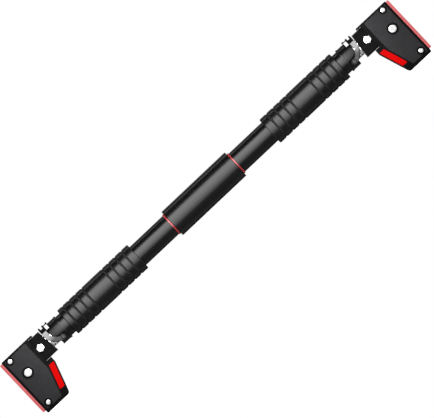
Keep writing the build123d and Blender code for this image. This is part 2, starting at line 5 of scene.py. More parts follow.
import bmesh
import bpy
from mathutils import Matrix, Vector
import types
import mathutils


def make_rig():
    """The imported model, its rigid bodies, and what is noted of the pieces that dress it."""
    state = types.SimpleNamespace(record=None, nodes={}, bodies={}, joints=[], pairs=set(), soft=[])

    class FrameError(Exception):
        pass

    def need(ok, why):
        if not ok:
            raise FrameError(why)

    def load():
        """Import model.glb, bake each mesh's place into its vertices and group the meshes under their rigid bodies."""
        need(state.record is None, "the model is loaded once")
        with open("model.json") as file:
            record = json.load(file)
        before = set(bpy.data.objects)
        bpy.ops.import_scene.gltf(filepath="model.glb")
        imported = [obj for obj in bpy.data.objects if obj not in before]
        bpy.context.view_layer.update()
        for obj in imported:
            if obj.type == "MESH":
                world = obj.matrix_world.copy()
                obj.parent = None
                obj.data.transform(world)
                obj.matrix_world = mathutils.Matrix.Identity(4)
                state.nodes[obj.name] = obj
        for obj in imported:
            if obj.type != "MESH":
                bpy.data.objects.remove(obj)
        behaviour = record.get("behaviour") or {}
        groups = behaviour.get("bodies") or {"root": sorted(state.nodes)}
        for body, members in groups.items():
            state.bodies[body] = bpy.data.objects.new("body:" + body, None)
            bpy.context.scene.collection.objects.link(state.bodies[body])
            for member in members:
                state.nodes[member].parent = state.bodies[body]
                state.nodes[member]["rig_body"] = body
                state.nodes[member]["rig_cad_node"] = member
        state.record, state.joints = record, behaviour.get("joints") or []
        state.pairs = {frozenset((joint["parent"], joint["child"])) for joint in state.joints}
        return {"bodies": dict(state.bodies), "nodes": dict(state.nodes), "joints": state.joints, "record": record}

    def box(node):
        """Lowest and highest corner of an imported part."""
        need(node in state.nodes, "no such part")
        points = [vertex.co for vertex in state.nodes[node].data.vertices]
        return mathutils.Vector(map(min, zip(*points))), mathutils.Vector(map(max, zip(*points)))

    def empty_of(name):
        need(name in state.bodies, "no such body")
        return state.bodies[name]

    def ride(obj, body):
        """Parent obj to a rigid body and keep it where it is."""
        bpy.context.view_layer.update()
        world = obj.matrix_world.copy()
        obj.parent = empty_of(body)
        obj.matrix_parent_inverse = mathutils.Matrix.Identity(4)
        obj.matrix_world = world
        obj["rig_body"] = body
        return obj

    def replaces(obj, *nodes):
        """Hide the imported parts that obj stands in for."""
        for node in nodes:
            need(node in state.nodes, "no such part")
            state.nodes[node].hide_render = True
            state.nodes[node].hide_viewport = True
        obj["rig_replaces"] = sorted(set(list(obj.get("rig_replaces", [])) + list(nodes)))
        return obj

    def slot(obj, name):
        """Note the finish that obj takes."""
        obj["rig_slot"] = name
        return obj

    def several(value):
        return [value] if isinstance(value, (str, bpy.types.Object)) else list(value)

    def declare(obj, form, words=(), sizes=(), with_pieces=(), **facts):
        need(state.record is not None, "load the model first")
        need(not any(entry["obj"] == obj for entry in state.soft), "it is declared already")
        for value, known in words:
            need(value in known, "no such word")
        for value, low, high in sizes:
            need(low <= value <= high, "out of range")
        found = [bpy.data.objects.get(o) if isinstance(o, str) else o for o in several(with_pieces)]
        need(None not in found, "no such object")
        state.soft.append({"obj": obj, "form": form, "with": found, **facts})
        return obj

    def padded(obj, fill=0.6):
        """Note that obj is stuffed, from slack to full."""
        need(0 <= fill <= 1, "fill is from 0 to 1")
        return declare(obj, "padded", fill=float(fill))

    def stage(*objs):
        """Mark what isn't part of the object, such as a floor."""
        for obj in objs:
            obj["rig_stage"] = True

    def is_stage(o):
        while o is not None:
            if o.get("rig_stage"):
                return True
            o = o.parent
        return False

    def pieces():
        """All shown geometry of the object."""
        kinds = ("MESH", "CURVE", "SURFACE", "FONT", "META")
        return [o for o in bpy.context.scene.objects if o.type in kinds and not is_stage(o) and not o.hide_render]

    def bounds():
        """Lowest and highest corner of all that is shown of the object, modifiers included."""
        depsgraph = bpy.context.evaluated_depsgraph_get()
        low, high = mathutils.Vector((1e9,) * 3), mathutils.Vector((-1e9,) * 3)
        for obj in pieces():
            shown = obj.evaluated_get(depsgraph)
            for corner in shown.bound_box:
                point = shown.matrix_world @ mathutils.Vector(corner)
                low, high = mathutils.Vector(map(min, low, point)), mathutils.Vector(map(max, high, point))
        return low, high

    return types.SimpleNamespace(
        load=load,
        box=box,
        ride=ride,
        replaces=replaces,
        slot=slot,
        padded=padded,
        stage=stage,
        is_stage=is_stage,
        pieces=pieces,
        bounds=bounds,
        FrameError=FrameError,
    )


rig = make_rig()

bl_info = {
    "name": "Pull up bar",
    "version": (1, 0, 0),
    "blender": (4, 5, 0),
    "location": "3D View > Sidebar > Pull Up Bar",
    "description": "Builds the visible pieces of a doorway pull up bar around its packed frame",
    "category": "Object",
}

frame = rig.load()
CAD_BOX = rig.bounds()

# Every piece is worked out for the +X end and turned over to the -X end.
ENDS = (("right", 1), ("left", -1))
MM = 0.001
M4, M6 = 2.0 * MM, 3.0 * MM  # radii of the shanks


def low(node):
    """Lowest corner of a node's box."""
    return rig.box(node)[0]


def high(node):
    """Highest corner of a node's box."""
    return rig.box(node)[1]


def middle(node):
    """Middle of a node's box."""
    return (low(node) + high(node)) / 2


def radius(node):
    """Outer radius of a node turned on the bar's axis."""
    return max(high(node).y, (high(node).z - low(node).z) / 2)


AXIS_Z = middle("centre_sleeve").z
CENTRE = Vector((0.0, 0.0, AXIS_Z))


# ---- Sizes and colours

def length(name, description, default):
    return bpy.props.FloatProperty(name=name, description=description, default=default, min=0.0,
                                   soft_max=1.0, precision=5, unit="LENGTH", subtype="DISTANCE")


def count(name, description, default):
    return bpy.props.IntProperty(name=name, description=description, default=default, min=1,
                                 soft_max=512)


def colour(name, description, default):
    return bpy.props.FloatVectorProperty(name=name, description=description, default=default,
                                         size=3, min=0.0, max=1.0, subtype="COLOR")


def factor(name, description, default):
    return bpy.props.FloatProperty(name=name, description=description, default=default, min=0.0,
                                   max=1.0, subtype="FACTOR")


class PullUpBarSizes(bpy.types.PropertyGroup):
    """Sizes of the visible pieces."""

    facets: count("Facets", "Faces round a turned piece", 144)
    tube_bore: length("Tube bore", "Inner radius of the tubes", 16.0 * MM)
    rim_radius: length("Rim radius", "Rounding of the sleeve's rims", 0.8 * MM)
    ring_radius: length("Ring rounding", "Rounding of the trim rings", 0.45 * MM)
    tube_fit: length("Fit", "Gap round the tube", 0.05 * MM)
    grip_rim: length("Grip rim", "Rounding of the foam grips' rims", 1.4 * MM)
    groove_width: length("Groove width", "Width of a grip's groove", 2.3 * MM)
    groove_depth: length("Groove depth", "Depth of a grip's groove", 1.1 * MM)
    groove_shoulder: length("Groove shoulder", "Softness of a groove's edges", 0.95 * MM)
    groove_pitch: length("Groove pitch", "Distance between grooves", 12.5 * MM)
    groove_count: count("Grooves", "Grooves in each group", 4)
    groove_inner: length("Inner inset", "Grip's inner end to the nearest groove", 12.9 * MM)
    groove_outer: length("Outer inset", "Grip's outer end to the nearest groove", 9.5 * MM)
    collar_bevel: length("Collar bevel", "Rounding of the collar's rims", 0.6 * MM)
    collar_lip: length("Collar lip", "Width of the collar's raised lip", 3.0 * MM)
    collar_step: length("Collar step", "Height of the lip over the collar", 0.6 * MM)
    thread_pitch: length("Thread pitch", "Travel of one turn", 6.0 * MM)
    thread_depth: length("Thread depth", "Crest to root", 1.4 * MM)
    thread_crest: length("Thread crest", "Width of the crest", 2.0 * MM)
    thread_flank: length("Thread flank", "Width of a flank along the rod", 1.0 * MM)
    rod_flat: length("Rod flat", "Depth of the two milled flats", 1.5 * MM)
    rod_bore: length("Rod bore", "Radius of the rod's bore", 9.5 * MM)
    pad_grooves: count("Pad grooves", "Cross grooves in a wall pad", 5)
    pad_groove_width: length("Pad groove width", "Width of a cross groove", 2.0 * MM)
    pad_groove_depth: length("Pad groove depth", "Depth of a cross groove", 1.2 * MM)
    pad_border: length("Pad border", "Plain strip beside the cross grooves", 2.6 * MM)
    pad_corner: length("Pad corner", "Corner radius of a wall pad", 2.0 * MM)
    edge: length("Edge rounding", "Rounding of moulded edges", 0.5 * MM)
    metal_edge: length("Metal edge", "Rounding of pressed metal edges", 0.35 * MM)
    strap_edge: length("Bail edge", "Rounding of the bails' straps", 1.2 * MM)


BLACK = (0.004, 0.004, 0.0042)


class PullUpBarColours(bpy.types.PropertyGroup):
    """Colours of the finishes."""

    tube: colour("Tube paint", "Satin black of the steel tubes", BLACK)
    sleeve: colour("Sleeve", "Moulded black of the centre sleeve", BLACK)
    foam: colour("Foam", "Black of the grips", BLACK)
    trim: colour("Trim ring", "Red of the sleeve's rings", (0.60, 0.018, 0.03))
    collar: colour("Collar", "Black of the collars", BLACK)
    neck: colour("Neck", "Black of the neck blocks", (0.0100, 0.0100, 0.0103))
    housing: colour("Housing", "Black of the brackets", (0.003, 0.003, 0.0032))
    plate: colour("Plate", "Dark grey of the face plates", (0.0225, 0.0225, 0.0245))
    insert: colour("Insert", "Red of the brackets' inserts", (0.98, 0.003, 0.003))
    pad: colour("Pad", "Red of the rubber wall pads", (0.84, 0.17, 0.18))
    chrome: colour("Chrome", "Plated rod and bail", (0.93, 0.93, 0.94))
    bail: colour("Bail", "Plated steel of the bails", (0.62, 0.62, 0.63))
    # Tone of the painted dark reflection on the bails' lower arms; the rivets take it as their colour.
    arm_reflection_tone: colour("Bail arms", "Blackened lower arms of the bails", (0.15, 0.15, 0.153))
    bright: colour("Bright zinc", "Bolts, screws and nuts", (0.95, 0.95, 0.95))
    washer: colour("Washer", "Black washers", (0.002, 0.002, 0.002))
    thumb: colour("Thumb grip", "Black of the bails' thumb grips", BLACK)
    steel: colour("Steel", "Plain steel inside the bar", (0.42, 0.42, 0.43))
    floor: colour("Floor", "Floor under the object", (0.80, 0.80, 0.80))
    ambient: factor("Ambient", "Level of the light from all round", 0.35)


def sizes():
    return bpy.context.scene.pull_up_bar_sizes


def colours():
    return bpy.context.scene.pull_up_bar_colours


# ---- Node trees

class Value:
    """What a node tree works out. The usual signs on a number add nodes to its tree."""

    def __init__(self, socket):
        self.socket = socket

    def __abs__(self):
        return calc("ABSOLUTE", self)

    def __round__(self):
        return calc("ROUND", self)


def put(socket, value):
    """Links a worked out value to an input, or sets a plain one."""
    value = value.socket if isinstance(value, Value) else value
    if isinstance(value, bpy.types.NodeSocket):
        socket.id_data.links.new(value, socket)
    else:
        socket.default_value = value


def add(tree, kind, inputs=None, **settings):
    """Adds a node with the given settings and input values."""
    node = tree.nodes.new(kind)
    for key, value in settings.items():
        setattr(node, key, value)
    for key, value in (inputs or {}).items():
        put(node.inputs[key], value)
    return node


def result(tree, kind, inputs=None, output=0, **settings):
    """What one output of a new node gives."""
    return Value(add(tree, kind, inputs, **settings).outputs[output])


def tree_of(values):
    """The tree that the first worked out value belongs to."""
    return next(v.socket.id_data for v in values if isinstance(v, Value))


def calc(operation, *values):
    """A Math node's result."""
    return result(tree_of(values), "ShaderNodeMath", dict(enumerate(values)), operation=operation)


def sign(operation, swapped):
    """What a sign does between two values."""
    return lambda a, b: calc(operation, b, a) if swapped else calc(operation, a, b)


for word, operation in (("add", "ADD"), ("sub", "SUBTRACT"), ("mul", "MULTIPLY"), ("truediv", "DIVIDE"),
                        ("mod", "FLOORED_MODULO"), ("pow", "POWER"), ("gt", "GREATER_THAN"),
                        ("lt", "LESS_THAN")):
    setattr(Value, f"__{word}__", sign(operation, False))
    setattr(Value, f"__r{word}__", sign(operation, True))


def lesser(a, b):
    return calc("MINIMUM", a, b)


def greater(a, b):
    return calc("MAXIMUM", a, b)


def spread(value, a, b, to_a=0.0, to_b=1.0, way="LINEAR"):
    """A number's place from a to b, given as a place from to_a to to_b and held to it."""
    return result(tree_of((value, a, b, to_a, to_b)), "ShaderNodeMapRange", {
        "Value": value, "From Min": a, "From Max": b, "To Min": to_a, "To Max": to_b},
        interpolation_type=way)


def pick(test, yes, no):
    """One value where the test holds, another elsewhere."""
    return result(tree_of((test, yes, no)), "GeometryNodeSwitch", {0: test, 1: no, 2: yes},
                  input_type="FLOAT")


def split(tree, vector):
    """A vector's three numbers."""
    node = add(tree, "ShaderNodeSeparateXYZ", {0: vector})
    return [Value(out) for out in node.outputs]


def joined(tree, *numbers):
    """A vector of three numbers."""
    return result(tree, "ShaderNodeCombineXYZ", dict(enumerate(numbers)))


def emptied(owner):
    """The node tree of a material or world, with nothing in it."""
    owner.use_nodes = True
    owner.node_tree.nodes.clear()
    return owner.node_tree


# ---- Finishes

class Finish:
    """A procedural material: a base colour that drifts a little, uneven gloss and a fine surface."""

    def __init__(self, name, base, roughness, metallic=0.0, specular=0.5, drift=0.18,
                 drift_scale=60.0, gloss=0.06, gloss_scale=140.0, stretch=(1, 1, 1)):
        self.material = bpy.data.materials.new(name)
        self.tree = emptied(self.material)
        self.place = add(self.tree, "ShaderNodeTexCoord").outputs["Object"]
        along = self.stretched(stretch)
        self.shader = add(self.tree, "ShaderNodeBsdfPrincipled", {
            "Metallic": metallic, "Specular IOR Level": specular})
        add(self.tree, "ShaderNodeOutputMaterial", {"Surface": self.shader.outputs[0]})
        self.height = None
        wander = self.noise(drift_scale, 4.0, 0.6, along)
        dark = [c * (1 - drift) for c in base]
        light = [min(1.0, c * (1 + drift)) for c in base]
        self.colour = self.mix(spread(wander, 0.3, 0.7), (*dark, 1), light)
        uneven = self.noise(gloss_scale, 5.0, 0.65, along)
        self.rough = spread(uneven, 0.25, 0.75, roughness - gloss, roughness + gloss)

    def stretched(self, scale):
        return result(self.tree, "ShaderNodeMapping", {"Vector": self.place, "Scale": scale})

    def noise(self, scale, detail, roughness, vector):
        return result(self.tree, "ShaderNodeTexNoise", {
            "Vector": vector, "Scale": scale, "Detail": detail, "Roughness": roughness}, "Fac")

    def cells(self, scale):
        """Distance to the nearest of many scattered points."""
        return result(self.tree, "ShaderNodeTexVoronoi", {"Vector": self.place, "Scale": scale},
                      "Distance", feature="F1")

    def mix(self, share, a, tint):
        """One colour with its share of another."""
        return result(self.tree, "ShaderNodeMix", {0: share, 6: a, 7: (*tint, 1)}, 2,
                      data_type="RGBA")

    def tinted(self, share, tint):
        self.colour = self.mix(share, self.colour, tint)
        return self

    def raise_by(self, height):
        self.height = height if self.height is None else self.height + height
        return self

    def grain(self, scale, depth):
        """A fine raised grain; depth in metres."""
        return self.raise_by(self.noise(scale, 3.0, 0.6, self.place) * depth)

    def pores(self, scale, depth, share=0.35):
        """Small open cells pressed into the surface."""
        return self.raise_by(spread(self.cells(scale), 0.0, share, -depth, 0.0))

    def scratches(self, scale, depth, stretch, rougher=0.05):
        """Fine lines that follow one direction."""
        lines = self.noise(scale, 6.0, 0.7, self.stretched(stretch))
        self.rough = self.rough + spread(lines, 0.4, 0.7, 0.0, rougher)
        return self.raise_by(lines * depth)

    def worn_edges(self, tint, reach, amount, gloss=0.12):
        """Edges of another colour and smoother, unevenly, as from rubbing."""
        bent = result(self.tree, "ShaderNodeBevel", {"Radius": reach}, samples=6)
        flat = add(self.tree, "ShaderNodeNewGeometry").outputs["Normal"]
        same = result(self.tree, "ShaderNodeVectorMath", {0: bent, 1: flat}, "Value",
                      operation="DOT_PRODUCT")
        edge = spread(same, 0.99, 0.90)
        patchy = spread(self.noise(420.0, 4.0, 0.7, self.place), 0.42, 0.62)
        mask = edge * patchy * amount
        self.tinted(mask, tint)
        self.rough = self.rough - mask * gloss
        return self

    def reflection_painted_below(self, tint, rim, dark_at, bright_at, reach=3.0 * MM):
        """A painted dark reflection towards the piece's foot, with an uneven border and painted dark shade along its
        turned edges.
        """
        # The darker foot is a painted reflection of the dark parts below, not a second finish.
        rise = split(self.tree, self.place)[2]
        ragged = self.noise(500.0, 3.0, 0.6, self.place) * 0.001
        share = spread(rise + ragged, bright_at, dark_at)
        self.tinted(share, tint)
        # The rim is painted shade where the edges turn away from the front.
        bent = result(self.tree, "ShaderNodeBevel", {"Radius": reach}, samples=8)
        turned = spread(abs(split(self.tree, bent)[1]), 0.995, 0.93)
        return self.tinted(share * turned, rim)

    def rougher_and_shaded_within(self, floor_r, rim_r, rougher, darker):
        """Rougher nearer the bar's axis, with painted shade darkening the groove floors."""
        _, y, z = split(self.tree, self.place)
        across = joined(self.tree, 0.0, y, z - AXIS_Z)
        reach = result(self.tree, "ShaderNodeVectorMath", {0: across}, "Value", operation="LENGTH")
        self.rough = self.rough + spread(reach, floor_r, rim_r, rougher, 0.0)
        # The black tint here is painted shade in the grooves.
        return self.tinted(spread(reach, floor_r, rim_r, darker, 0.0), (0.0, 0.0, 0.0))

    def flecks(self, tint, scale, share, amount):
        """Sparse small specks, such as dust in paint or filler in a moulding."""
        return self.tinted(spread(self.cells(scale), share, share * 0.6) * amount, tint)

    def done(self):
        put(self.shader.inputs["Base Color"], self.colour)
        put(self.shader.inputs["Roughness"], self.rough)
        if self.height is not None:
            put(self.shader.inputs["Normal"], result(self.tree, "ShaderNodeBump", {
                "Height": self.height, "Distance": 1.0}))
        return self.material


WORN = (0.05, 0.05, 0.052)
# Each finish's slot, colour, roughness, settings and what is done to its surface.
FINISHES = {
    "tube_paint": ("black_tube", "tube", 0.23, {"specular": 0.17, "gloss": 0.03, "stretch": (0.4, 1, 1)},
        lambda f: f.grain(1500.0, 6e-6).grain(260.0, 1.2e-5)),
    "sleeve_moulding": ("sleeve_black", "sleeve", 0.24, {"specular": 0.17, "gloss": 0.03},
        lambda f: f.grain(2600.0, 1.0e-5).grain(300.0, 1.0e-5).worn_edges(WORN, 0.0006, 0.35)),
    "grip_foam": (
        "foam_black", "foam", 0.26, {"specular": 0.17, "gloss": 0.04, "drift": 0.25, "drift_scale": 90.0},
        lambda f: f.pores(1500.0, 3.2e-5).grain(900.0, 2.0e-5)
        .flecks((0.03, 0.03, 0.031), 900.0, 0.16, 0.4)
        # Painted shade in the grips' grooves, with rougher foam there.
        .rougher_and_shaded_within(*(radius("grip_right") - sunk * MM for sunk in (0.9, 0.1)), 0.6, 1.0)),
    "trim_plastic": ("trim_red", "trim", 0.34, {"drift": 0.10, "gloss": 0.05},
        lambda f: f.grain(1400.0, 6e-6)),
    "collar_moulding": ("collar_black", "collar", 0.26, {"specular": 0.17, "gloss": 0.05},
        lambda f: f.grain(2200.0, 9e-6).worn_edges(WORN, 0.0005, 0.4)),
    "neck_moulding": ("neck_black", "neck", 0.42, {"specular": 0.07},
        lambda f: f.grain(2000.0, 1.4e-5).worn_edges(WORN, 0.0006, 0.4)),
    "housing_moulding": ("housing_black", "housing", 0.5, {"specular": 0.04},
        lambda f: f.grain(1900.0, 1.6e-5).worn_edges(WORN, 0.0007, 0.4)),
    "plate_moulding": ("plate_grey", "plate", 0.58, {"specular": 0.13, "drift": 0.12},
        lambda f: f.grain(1700.0, 2.2e-5).grain(5200.0, 8e-6)
        .worn_edges((0.09, 0.09, 0.092), 0.0005, 0.4)),
    "insert_moulding": ("insert_red", "insert", 0.5, {"specular": 0.015, "gloss": 0.05, "drift": 0.05},
        lambda f: f.grain(1900.0, 1.2e-5)),
    "pad_rubber": ("pad_red", "pad", 0.62, {"specular": 0.2, "gloss": 0.08, "drift": 0.10},
        lambda f: f.grain(1200.0, 2.5e-5).grain(4200.0, 1e-5)
        .flecks((0.95, 0.55, 0.55), 1100.0, 0.14, 0.3)),
    "chrome_plate": ("chrome", "chrome", 0.12, {"metallic": 1.0, "drift": 0.03, "gloss": 0.04},
        lambda f: f.scratches(900.0, 6e-7, (0.15, 1, 1)).grain(160.0, 2e-6)),
    # Plated steel with a painted dark reflection on the lower arms and painted shade along their edges.
    "bail_steel": ("chrome", "bail", 0.26, {"metallic": 1.0, "drift": 0.08, "gloss": 0.04},
        lambda f: f.scratches(1000.0, 1e-6, (1, 1, 0.2)).worn_edges((0.9, 0.9, 0.91), 0.0007, 0.6)
        .reflection_painted_below(colours().arm_reflection_tone, (0.006,) * 3, AXIS_Z - 4.0 * MM, AXIS_Z + 4.0 * MM)),
    # The rivets take the tone of the bails' painted dark reflection as their colour.
    "rivet_steel": ("chrome", "arm_reflection_tone", 0.26, {"metallic": 1.0, "drift": 0.08, "gloss": 0.04},
        lambda f: f.scratches(1000.0, 1e-6, (1, 1, 0.2))),
    "bright_zinc": ("bolt_bright", "bright", 0.24, {"metallic": 1.0, "drift": 0.04},
        lambda f: f.scratches(1400.0, 8e-7, (1, 1, 0.25)).grain(700.0, 1e-6)),
    "washer_coating": ("washer_black", "washer", 0.5, {"specular": 0.06},
        lambda f: f.grain(2100.0, 8e-6)),
    "thumb_moulding": ("thumb_black", "thumb", 0.44, {"specular": 0.07},
        lambda f: f.grain(1800.0, 1.4e-5).worn_edges(WORN, 0.0004, 0.5)),
    "plain_steel": ("steel", "steel", 0.36, {"metallic": 1.0, "drift": 0.10, "gloss": 0.08},
        lambda f: f.scratches(1100.0, 3e-6, (0.3, 1, 1)).grain(420.0, 5e-6)),
}


def material(name):
    """The named finish, made on first use."""
    _, tint, roughness, settings, surface = FINISHES[name]
    found = bpy.data.materials.get(name)
    return found or surface(Finish(name, getattr(colours(), tint), roughness, **settings)).done()


# ---- Meshes

def piece(name, data):
    made = bpy.data.objects.new(name, data)
    bpy.context.scene.collection.objects.link(made)
    return made


def from_bmesh(name, bm):
    mesh = bpy.data.meshes.new(name)
    bm.to_mesh(mesh)
    bm.free()
    return piece(name, mesh)


def smooth(made, degrees=35):
    made.data.shade_smooth()
    made.data.set_sharp_from_angle(angle=math.radians(degrees))
    return made


def bake(made):
    """Turns an object's modifiers into its mesh and removes them."""
    bpy.context.view_layer.update()
    graph = bpy.context.evaluated_depsgraph_get()
    mesh = bpy.data.meshes.new_from_object(made.evaluated_get(graph), depsgraph=graph,
                                           preserve_all_data_layers=True)
    old = made.data
    made.modifiers.clear()
    made.data = mesh
    if old.users == 0:
        bpy.data.meshes.remove(old)
    mesh.name = made.name
    return made


def settle(made, node, body, finish):
    """Gives a finished piece its material and its place in the object."""
    made.data.materials.clear()
    made.data.materials.append(material(finish))
    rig.ride(made, body)
    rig.replaces(made, node)
    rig.slot(made, FINISHES[finish][0])
    return made


def round_corners(points, radii, steps=5):
    """A closed outline with its corners rounded; radii match the points, 0 keeps a corner."""
    made = []
    for i, (point, r) in enumerate(zip(points, radii)):
        here = Vector(point)
        if r <= 0:
            made.append(tuple(here))
            continue
        back = (Vector(points[i - 1]) - here).normalized()
        ahead = (Vector(points[(i + 1) % len(points)]) - here).normalized()
        half = back.angle(ahead) / 2
        reach = r / math.tan(half)
        centre = here + (back + ahead).normalized() * (r / math.sin(half))
        start, end = here + back * reach - centre, here + ahead * reach - centre
        turn = start.angle_signed(end)
        for step in range(steps + 1):
            a = -turn * step / steps
            made.append((centre.x + (start.x * math.cos(a) - start.y * math.sin(a)),
                         centre.y + (start.x * math.sin(a) + start.y * math.cos(a))))
    return made


def lathe(name, outline, side, facets):
    """Turns a closed outline of (x, radius) round the bar's axis."""
    bm = bmesh.new()
    angles = [2 * math.pi * step / facets for step in range(facets)]
    rings = [[bm.verts.new((side * x, r * math.cos(a), AXIS_Z + r * math.sin(a))) for a in angles]
             for x, r in outline]
    for i, ring in enumerate(rings):
        nxt = rings[(i + 1) % len(rings)]
        for j in range(facets):
            k = (j + 1) % facets
            bm.faces.new((ring[j], ring[k], nxt[k], nxt[j]))
    bmesh.ops.recalc_face_normals(bm, faces=bm.faces)
    return smooth(from_bmesh(name, bm))


def drill(made, holes, blocks=()):
    """Cuts round holes along Y, each (x, z, radius, y_from, y_to), and blocks, each (centre, size)."""
    bm = bmesh.new()
    for centre, size in blocks:
        bmesh.ops.create_cube(bm, size=1.0, matrix=Matrix.LocRotScale(centre, None, size))
    for x, z, r, y_from, y_to in holes:
        place = Matrix.Translation((x, (y_from + y_to) / 2, z)) @ Matrix.Rotation(math.pi / 2, 4, "X")
        bmesh.ops.create_cone(bm, cap_ends=True, segments=32, radius1=r, radius2=r,
                              depth=y_to - y_from, matrix=place)
    cutter = from_bmesh(made.name + "_cutter", bm)
    cut = made.modifiers.new("holes", "BOOLEAN")
    cut.operation, cut.solver, cut.object = "DIFFERENCE", "EXACT", cutter
    bake(made)
    bpy.data.objects.remove(cutter)
    return smooth(made)


def bevel(made, width, degrees):
    """Adds a rounding of the sharp edges."""
    edges = made.modifiers.new("edges", "BEVEL")
    edges.width, edges.segments = width, 3
    edges.limit_method, edges.angle_limit = "ANGLE", math.radians(degrees)
    edges.use_clamp_overlap = True
    return edges


def refined(node, end, name, edge, body, finish):
    """A piece from a CAD node's shape, merged, cleaned and given softly rounded edges."""
    bm = bmesh.new()
    bm.from_mesh(frame["nodes"][f"{node}_{end}"].data)
    bmesh.ops.remove_doubles(bm, verts=bm.verts, dist=2e-6)
    bmesh.ops.dissolve_limit(bm, angle_limit=math.radians(0.4), verts=bm.verts, edges=bm.edges)
    made = from_bmesh(f"{name}_{end}", bm)
    made.data.shade_smooth()
    bevel(made, edge, 32).miter_outer = "MITER_ARC"
    weigh = made.modifiers.new("shading", "WEIGHTED_NORMAL")
    weigh.keep_sharp = True
    weigh.weight = 60
    return settle(bake(made), f"{node}_{end}", body, finish)


# ---- Geometry node trees

KINDS = {float: "Float", int: "Int", tuple: "Vector"}


def labelled(key):
    """An input's name as a tree shows it."""
    return key.replace("_", " ").title()


def new_tree(name, shape, values):
    """A geometry tree round a shape. Its inputs have the given values' names and kinds."""
    tree = bpy.data.node_groups.new(name, "GeometryNodeTree")
    tree.is_modifier = True
    for key, value in values.items():
        kind = KINDS.get(type(value), "Material")
        socket = tree.interface.new_socket(labelled(key), in_out="INPUT",
                                           socket_type="NodeSocket" + kind)
        if kind != "Material":
            socket.default_value = value
    tree.interface.new_socket("Geometry", in_out="OUTPUT", socket_type="NodeSocketGeometry")
    given = add(tree, "NodeGroupInput").outputs
    g = SimpleNamespace(**{key: Value(given[labelled(key)]) for key in values})
    real = result(tree, "GeometryNodeRealizeInstances", {0: shape(tree, g)})
    painted = result(tree, "GeometryNodeSetMaterial", {"Geometry": real, "Material": g.finish})
    add(tree, "NodeGroupOutput", {0: painted})
    return tree


def grow(node, end, name, body, shape, finish, degrees=30, **values):
    """A piece in a CAD node's place, made by a shape's geometry tree from the given values."""
    values["finish"] = material(finish)
    tree = bpy.data.node_groups.get(shape.__name__) or new_tree(shape.__name__, shape, values)
    made = piece(f"{name}_{end}", bpy.data.meshes.new(name))
    grower = made.modifiers.new("grow", "NODES")
    grower.node_group = tree
    for key, value in values.items():
        grower[tree.interface.items_tree[labelled(key)].identifier] = value
    bake(made)
    if not made.data.polygons:
        raise RuntimeError(f"{name} came out empty")
    bm = bmesh.new()
    bm.from_mesh(made.data)
    bmesh.ops.remove_doubles(bm, verts=bm.verts, dist=1e-6)
    bmesh.ops.recalc_face_normals(bm, faces=bm.faces)
    bm.to_mesh(made.data)
    bm.free()
    return settle(smooth(made, degrees), f"{node}_{end}", body, finish)


def grid_rows(tree, rows, columns):
    """A grid, with the number of a point's row and its turn from 0 to one full circle."""
    grid = add(tree, "GeometryNodeMeshGrid", {"Vertices X": rows, "Vertices Y": columns + 1})
    x, y, _ = split(tree, result(tree, "GeometryNodeInputPosition"))
    return grid.outputs["Mesh"], round((x + 0.5) * (rows - 1)), (y + 0.5) * (2 * math.pi)


def placed(tree, grid, x, y, z):
    """The grid with its points moved and its doubles merged."""
    moved = result(tree, "GeometryNodeSetPosition", {0: grid, "Position": joined(tree, x, y, z)})
    return result(tree, "GeometryNodeMergeByDistance", {0: moved, "Distance": 1e-6})


def tube(tree, g, outer, flat=None):
    """A tube round the bar's axis with the given outer surface, and perhaps two flats."""
    rows = g.rows
    grid, row, turn = grid_rows(tree, rows + 4, g.facets)
    x = pick(row > rows + 1.5, 0.0, lesser(row, rows) / rows * g.length)
    wide = outer(x, turn)
    r = pick(row > rows + 2.5, wide, pick(row > rows + 0.5, g.bore, wide))
    up = r * calc("SINE", turn)
    if flat is not None:
        up = greater(lesser(up, flat), flat * -1.0)
    return placed(tree, grid, (x + g.start) * g.side, r * calc("COSINE", turn),
                  up + g.height)


def groove(g, away):
    """How deep a groove is at a distance from its middle."""
    half = g.groove_width * 0.5
    return spread(away, half - g.shoulder, half + g.shoulder, 1.0, 0.0,
                  "SMOOTHSTEP") * g.groove_depth


def rounding(size, away):
    """How far a rounded rim falls back at a distance from its end."""
    short = greater(size - away, 0.0)
    return size - calc("SQRT", greater(size ** 2.0 - short ** 2.0, 0.0))


def grooved_grip(tree, g):
    """A foam tube with two groups of grooves and soft rims."""
    def nearest(along, inset):
        past = along - inset
        which = lesser(greater(round(past / g.pitch), 0.0), g.grooves - 1)
        return abs(past - which * g.pitch)

    def outer(x, turn):
        from_end = g.length - x
        away = lesser(nearest(x, g.inner_inset), nearest(from_end, g.outer_inset))
        return g.radius - groove(g, away) - rounding(g.rim, lesser(x, from_end))

    return tube(tree, g, outer)


def threaded_rod(tree, g):
    """A hollow rod with a raised helical thread and two milled flats."""
    def outer(x, turn):
        wound = x / g.pitch - turn / (2 * math.pi)
        off = abs(wound % 1.0 * g.pitch - g.pitch * 0.5)
        crest = g.crest * 0.5
        sunk = spread(off, crest, crest + g.flank, 0.0, g.depth)
        plain = lesser(x, g.length - x) < g.plain_ends
        return g.radius - pick(plain, g.depth, sunk)

    return tube(tree, g, outer, g.flat)


def chosen(at, values):
    """The value whose place in the list is given."""
    node = add(tree_of([at]), "GeometryNodeIndexSwitch", data_type="FLOAT")
    while len(node.index_switch_items) < len(values):
        node.index_switch_items.new()
    for i, value in enumerate((at, *values)):
        put(node.inputs[i], value)
    return Value(node.outputs[0])


